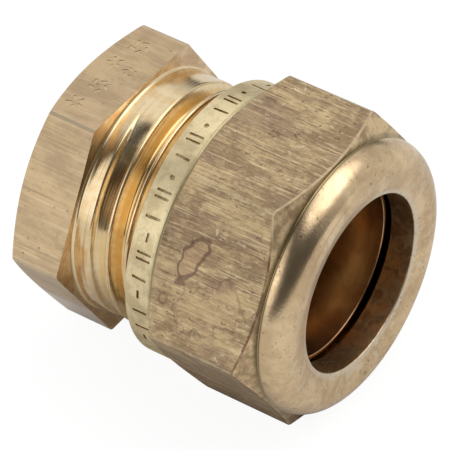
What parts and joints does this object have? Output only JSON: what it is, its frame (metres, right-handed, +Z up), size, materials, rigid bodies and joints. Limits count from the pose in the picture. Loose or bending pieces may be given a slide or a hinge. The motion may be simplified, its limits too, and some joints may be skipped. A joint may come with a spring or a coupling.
{
  "type": "compression stop end",
  "caption": "Blind brass compression fitting that closes the end of a 15 mm pipe: threaded hexagonal body, coupling nut with a domed nose, and a loose compression ring between them.",
  "frame": {"origin": "on the surface that the fitting lies on, under the middle of its length, below its axis", "axes": "+X along the fitting's axis from the closed end to the pipe's mouth, +Z up, square to the nut flat that it lies on"},
  "size_m": [0.0266, 0.0272, 0.0238],
  "materials": {
    "body_brass": "drawn and turned brass, satin on the flats, bright on the thread",
    "ring_brass": "bright turned brass",
    "nut_brass": "forged and drawn brass with a dull brown patina on the flats"
  },
  "bodies": {
    "body": {"fitting_body": "body_brass"},
    "ring": {"compression_ring": "ring_brass"},
    "nut": {"coupling_nut": "nut_brass"}
  },
  "joints": [
    {"name": "ring_travel", "type": "slide", "parent": "body", "child": "ring", "axis": [1, 0, 0], "range_m": [-0.00091, 0.00545]},
    {"name": "nut_turn", "type": "hinge", "parent": "ring", "child": "nut", "pos_m": [0, 0, 0.0119], "axis": [1, 0, 0], "range_deg": [-180, 1080]}
  ],
  "couplings": [
    {"joint": "ring_travel", "follows": "nut_turn", "m_per_rad": 0.00028871}
  ]
}
